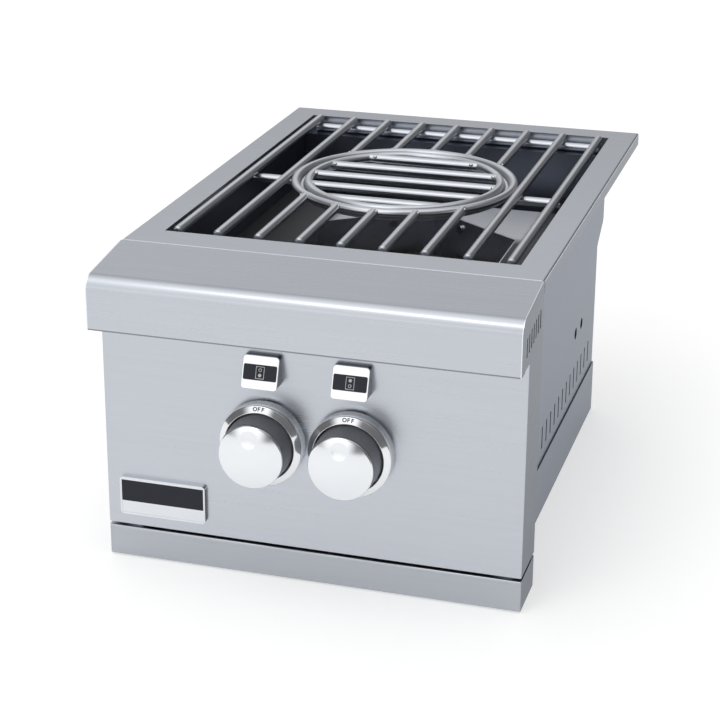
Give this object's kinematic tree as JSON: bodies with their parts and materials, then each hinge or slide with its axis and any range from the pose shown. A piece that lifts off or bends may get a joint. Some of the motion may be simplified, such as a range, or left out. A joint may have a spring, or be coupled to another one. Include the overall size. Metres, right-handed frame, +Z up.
{
  "type": "built-in side burner",
  "caption": "Built-in gas side burner with a lift-out round-bar grate over a sunken burner well, push-and-turn knobs on the fascia and a pull-out drip tray.",
  "frame": {"origin": "on the underside of the base pan, centred left to right, in the plane of the fascia's back, which is the front face of the island", "axes": "+X to the user's right, +Y from the fascia to the back of the unit, +Z up"},
  "size_m": [0.356, 0.559, 0.2705],
  "materials": {
    "satin_steel": "satin brushed sheet",
    "box_steel": "plain mill sheet",
    "shield_steel": "heat-darkened sheet",
    "rail_steel": "plain",
    "screw_steel": "bright",
    "grate_steel": "polished round bar",
    "cast_iron": "matt black",
    "brass": "machined",
    "valve_casting": "die cast",
    "gas_pipe": "black pipe",
    "pipe_fitting": "malleable iron",
    "polished": "polished",
    "grip": "fine texture",
    "dark_field": "gloss black",
    "igniter_plastic": "moulded",
    "ceramic": "glazed ceramic",
    "lead_rubber": "silicone sleeve"
  },
  "bodies": {
    "housing": {"top_trim": "satin_steel", "bullnose": "satin_steel", "control_panel": "satin_steel", "side_wall_left": "box_steel", "side_wall_right": "box_steel", "rear_wall": "box_steel", "box_screws": "screw_steel", "front_wall": "box_steel", "base_pan": "box_steel", "burner_deck": "box_steel", "wind_shield": "shield_steel", "shield_screws": "screw_steel", "burner_rails": "rail_steel", "mixing_tubes": "rail_steel", "burner_bowls": "cast_iron", "burner_rings": "brass", "burner_screws": "screw_steel", "gas_manifold": "gas_pipe", "manifold_plug": "pipe_fitting", "gas_elbow": "pipe_fitting", "supply_pipe": "gas_pipe", "gas_inlet": "brass", "valve_body_front": "valve_casting", "valve_body_rear": "valve_casting", "gas_orifices": "brass", "bezel_front": "polished", "bezel_rear": "polished", "valve_screws": "screw_steel", "label_front": "polished", "label_rear": "polished", "label_bands": "dark_field", "badge_plate": "polished", "badge_field": "dark_field", "tray_runners": "box_steel", "igniter_box": "igniter_plastic", "electrodes": "ceramic", "electrode_pins": "screw_steel", "igniter_leads": "lead_rubber"},
    "main_grate": {"grate_long_bars": "grate_steel", "grate_short_bars": "grate_steel", "grate_cross_rods": "grate_steel", "grate_ring": "grate_steel", "grate_seat_ring": "grate_steel"},
    "centre_grate": {"centre_ring": "grate_steel", "centre_rods": "grate_steel"},
    "front_burner_lid": {"burner_cap_front": "cast_iron"},
    "rear_burner_lid": {"burner_cap_rear": "cast_iron"},
    "front_plug": {"valve_plug_front": "brass"},
    "front_knob": {"valve_stem_front": "screw_steel", "knob_grip_front": "grip", "knob_cap_front": "polished"},
    "rear_plug": {"valve_plug_rear": "brass"},
    "rear_knob": {"valve_stem_rear": "screw_steel", "knob_grip_rear": "grip", "knob_cap_rear": "polished"},
    "front_shutter": {"air_shutter_front": "rail_steel"},
    "rear_shutter": {"air_shutter_rear": "rail_steel"},
    "tray": {"tray_front": "satin_steel", "drip_tray": "box_steel", "tray_screws": "screw_steel"}
  },
  "joints": [
    {"name": "front_knob_turn", "type": "hinge", "parent": "housing", "child": "front_plug", "pos_m": [-0.0375, 0, 0.124], "axis": [0, -1, 0], "range_deg": [0, 210]},
    {"name": "front_knob_push", "type": "slide", "parent": "front_plug", "child": "front_knob", "axis": [0, 1, 0], "range_m": [0, 0.003], "stiffness_N_per_m": 800, "springref_m": -0.002},
    {"name": "front_air_shutter_turn", "type": "hinge", "parent": "housing", "child": "front_shutter", "pos_m": [-0.0375, 0, 0.124], "axis": [0, -1, 0], "range_deg": [0, 60]},
    {"name": "front_burner_cap_lift", "type": "slide", "parent": "housing", "child": "front_burner_lid", "axis": [0, 0, 1], "range_m": [0, 0.06]},
    {"name": "rear_knob_turn", "type": "hinge", "parent": "housing", "child": "rear_plug", "pos_m": [0.0375, 0, 0.124], "axis": [0, -1, 0], "range_deg": [0, 210]},
    {"name": "rear_knob_push", "type": "slide", "parent": "rear_plug", "child": "rear_knob", "axis": [0, 1, 0], "range_m": [0, 0.003], "stiffness_N_per_m": 800, "springref_m": -0.002},
    {"name": "rear_air_shutter_turn", "type": "hinge", "parent": "housing", "child": "rear_shutter", "pos_m": [0.0375, 0, 0.124], "axis": [0, -1, 0], "range_deg": [0, 60]},
    {"name": "rear_burner_cap_lift", "type": "slide", "parent": "housing", "child": "rear_burner_lid", "axis": [0, 0, 1], "range_m": [0, 0.06]},
    {"name": "main_grate_lift", "type": "slide", "parent": "housing", "child": "main_grate", "axis": [0, 0, 1], "range_m": [0, 0.08]},
    {"name": "centre_grate_lift", "type": "slide", "parent": "main_grate", "child": "centre_grate", "axis": [0, 0, 1], "range_m": [0, 0.08]},
    {"name": "tray_slide", "type": "slide", "parent": "housing", "child": "tray", "axis": [0, -1, 0], "range_m": [0, 0.3]}
  ]
}
